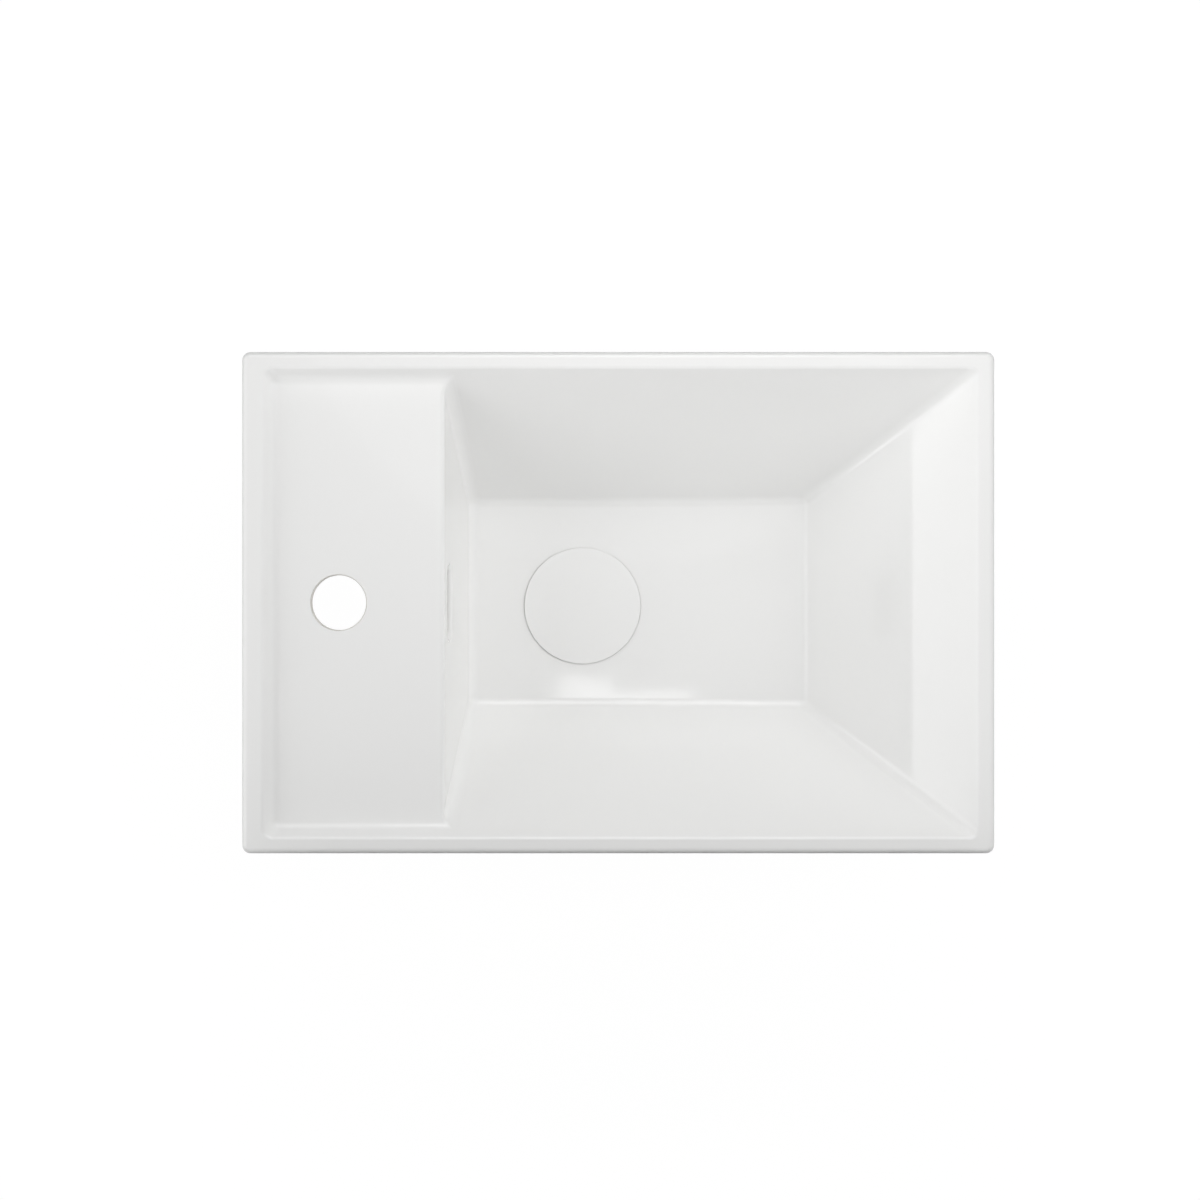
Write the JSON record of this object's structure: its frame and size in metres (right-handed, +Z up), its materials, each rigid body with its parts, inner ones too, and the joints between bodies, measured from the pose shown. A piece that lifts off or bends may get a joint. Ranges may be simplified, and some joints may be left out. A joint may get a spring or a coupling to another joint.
{
  "type": "inset washbasin",
  "caption": "Rectangular glazed ceramic inset basin with a tap deck at one end, sloping bowl walls, overflow slot, push-open waste and underside clamps.",
  "frame": {"origin": "middle of the rim's plan, in the plane of the worktop that the rim's seal stands on", "axes": "+Z up out of the bowl, +X along the rim away from the tap deck, +Y towards the back long side"},
  "size_m": [0.45, 0.3, 0.184],
  "materials": {
    "glazed_ceramic": "gloss glaze",
    "chrome": "polished chrome plate",
    "black_rubber": "matt moulded rubber",
    "grey_foam": "closed-cell foam",
    "white_plastic": "moulded plastic",
    "grey_plastic": "moulded plastic",
    "brass": "bare brass",
    "zinc_steel": "zinc plate",
    "spring_steel": "drawn stainless wire"
  },
  "bodies": {
    "basin": {"basin": "glazed_ceramic", "rim_seal": "grey_foam", "waste_body": "chrome", "flange_gasket": "black_rubber", "taper_gasket": "black_rubber", "slip_washer": "white_plastic", "lock_nut": "chrome", "cartridge_body": "grey_plastic", "cartridge_plug": "grey_plastic", "return_spring": "spring_steel", "clamp_anchors": "brass", "clamp_studs": "zinc_steel"},
    "plunger": {"plunger": "brass"},
    "cap": {"waste_cap": "glazed_ceramic", "cap_plug": "white_plastic", "cap_seal": "black_rubber", "cap_insert": "brass"},
    "latch": {"latch_rotor": "grey_plastic"},
    "clamp_slide_1": {"clamp_washer_1": "zinc_steel"},
    "clamp_arm_1": {"clamp_arm_1": "zinc_steel"},
    "wing_nut_1": {"wing_nut_1": "zinc_steel"},
    "clamp_slide_2": {"clamp_washer_2": "zinc_steel"},
    "clamp_arm_2": {"clamp_arm_2": "zinc_steel"},
    "wing_nut_2": {"wing_nut_2": "zinc_steel"},
    "clamp_slide_3": {"clamp_washer_3": "zinc_steel"},
    "clamp_arm_3": {"clamp_arm_3": "zinc_steel"},
    "wing_nut_3": {"wing_nut_3": "zinc_steel"},
    "clamp_slide_4": {"clamp_washer_4": "zinc_steel"},
    "clamp_arm_4": {"clamp_arm_4": "zinc_steel"},
    "wing_nut_4": {"wing_nut_4": "zinc_steel"}
  },
  "joints": [
    {"name": "cap_lift", "type": "slide", "parent": "basin", "child": "plunger", "axis": [0, 0, 1], "range_m": [-0.001, 0.01], "deforming": ["return_spring"]},
    {"name": "cap_turn", "type": "hinge", "parent": "plunger", "child": "cap", "pos_m": [-0.0218, -0.002, -0.0826], "axis": [0, 0, 1], "continuous": true},
    {"name": "latch_turn", "type": "hinge", "parent": "plunger", "child": "latch", "pos_m": [-0.0218, -0.002, -0.1227], "axis": [0, 0, 1], "range_deg": [-5, 31]},
    {"name": "clamp_1_travel", "type": "slide", "parent": "basin", "child": "clamp_slide_1", "axis": [0, 0, 1], "range_m": [-0.01801, 0.01101]},
    {"name": "wing_nut_1_turn", "type": "hinge", "parent": "clamp_slide_1", "child": "wing_nut_1", "pos_m": [-0.15, 0.131, -0.0447], "axis": [0, 0, 1], "range_deg": [-6480, 3960]},
    {"name": "clamp_1_swing", "type": "hinge", "parent": "clamp_slide_1", "child": "clamp_arm_1", "pos_m": [-0.15, 0.131, -0.0385], "axis": [0, 0, 1], "range_deg": [0, 90]},
    {"name": "clamp_2_travel", "type": "slide", "parent": "basin", "child": "clamp_slide_2", "axis": [0, 0, 1], "range_m": [-0.01801, 0.01101]},
    {"name": "wing_nut_2_turn", "type": "hinge", "parent": "clamp_slide_2", "child": "wing_nut_2", "pos_m": [0.15, 0.131, -0.0447], "axis": [0, 0, 1], "range_deg": [-6480, 3960]},
    {"name": "clamp_2_swing", "type": "hinge", "parent": "clamp_slide_2", "child": "clamp_arm_2", "pos_m": [0.15, 0.131, -0.0385], "axis": [0, 0, 1], "range_deg": [-90, 0]},
    {"name": "clamp_3_travel", "type": "slide", "parent": "basin", "child": "clamp_slide_3", "axis": [0, 0, 1], "range_m": [-0.01801, 0.01101]},
    {"name": "wing_nut_3_turn", "type": "hinge", "parent": "clamp_slide_3", "child": "wing_nut_3", "pos_m": [-0.15, -0.131, -0.0447], "axis": [0, 0, 1], "range_deg": [-6480, 3960]},
    {"name": "clamp_3_swing", "type": "hinge", "parent": "clamp_slide_3", "child": "clamp_arm_3", "pos_m": [-0.15, -0.131, -0.0385], "axis": [0, 0, 1], "range_deg": [-90, 0]},
    {"name": "clamp_4_travel", "type": "slide", "parent": "basin", "child": "clamp_slide_4", "axis": [0, 0, 1], "range_m": [-0.01801, 0.01101]},
    {"name": "wing_nut_4_turn", "type": "hinge", "parent": "clamp_slide_4", "child": "wing_nut_4", "pos_m": [0.15, -0.131, -0.0447], "axis": [0, 0, 1], "range_deg": [-6480, 3960]},
    {"name": "clamp_4_swing", "type": "hinge", "parent": "clamp_slide_4", "child": "clamp_arm_4", "pos_m": [0.15, -0.131, -0.0385], "axis": [0, 0, 1], "range_deg": [0, 90]}
  ],
  "couplings": [
    {"joint": "latch_turn", "follows": "cap_lift", "rad_per_m": 52.36},
    {"joint": "clamp_1_travel", "follows": "wing_nut_1_turn", "m_per_rad": 0.00015915},
    {"joint": "clamp_2_travel", "follows": "wing_nut_2_turn", "m_per_rad": 0.00015915},
    {"joint": "clamp_3_travel", "follows": "wing_nut_3_turn", "m_per_rad": 0.00015915},
    {"joint": "clamp_4_travel", "follows": "wing_nut_4_turn", "m_per_rad": 0.00015915}
  ]
}
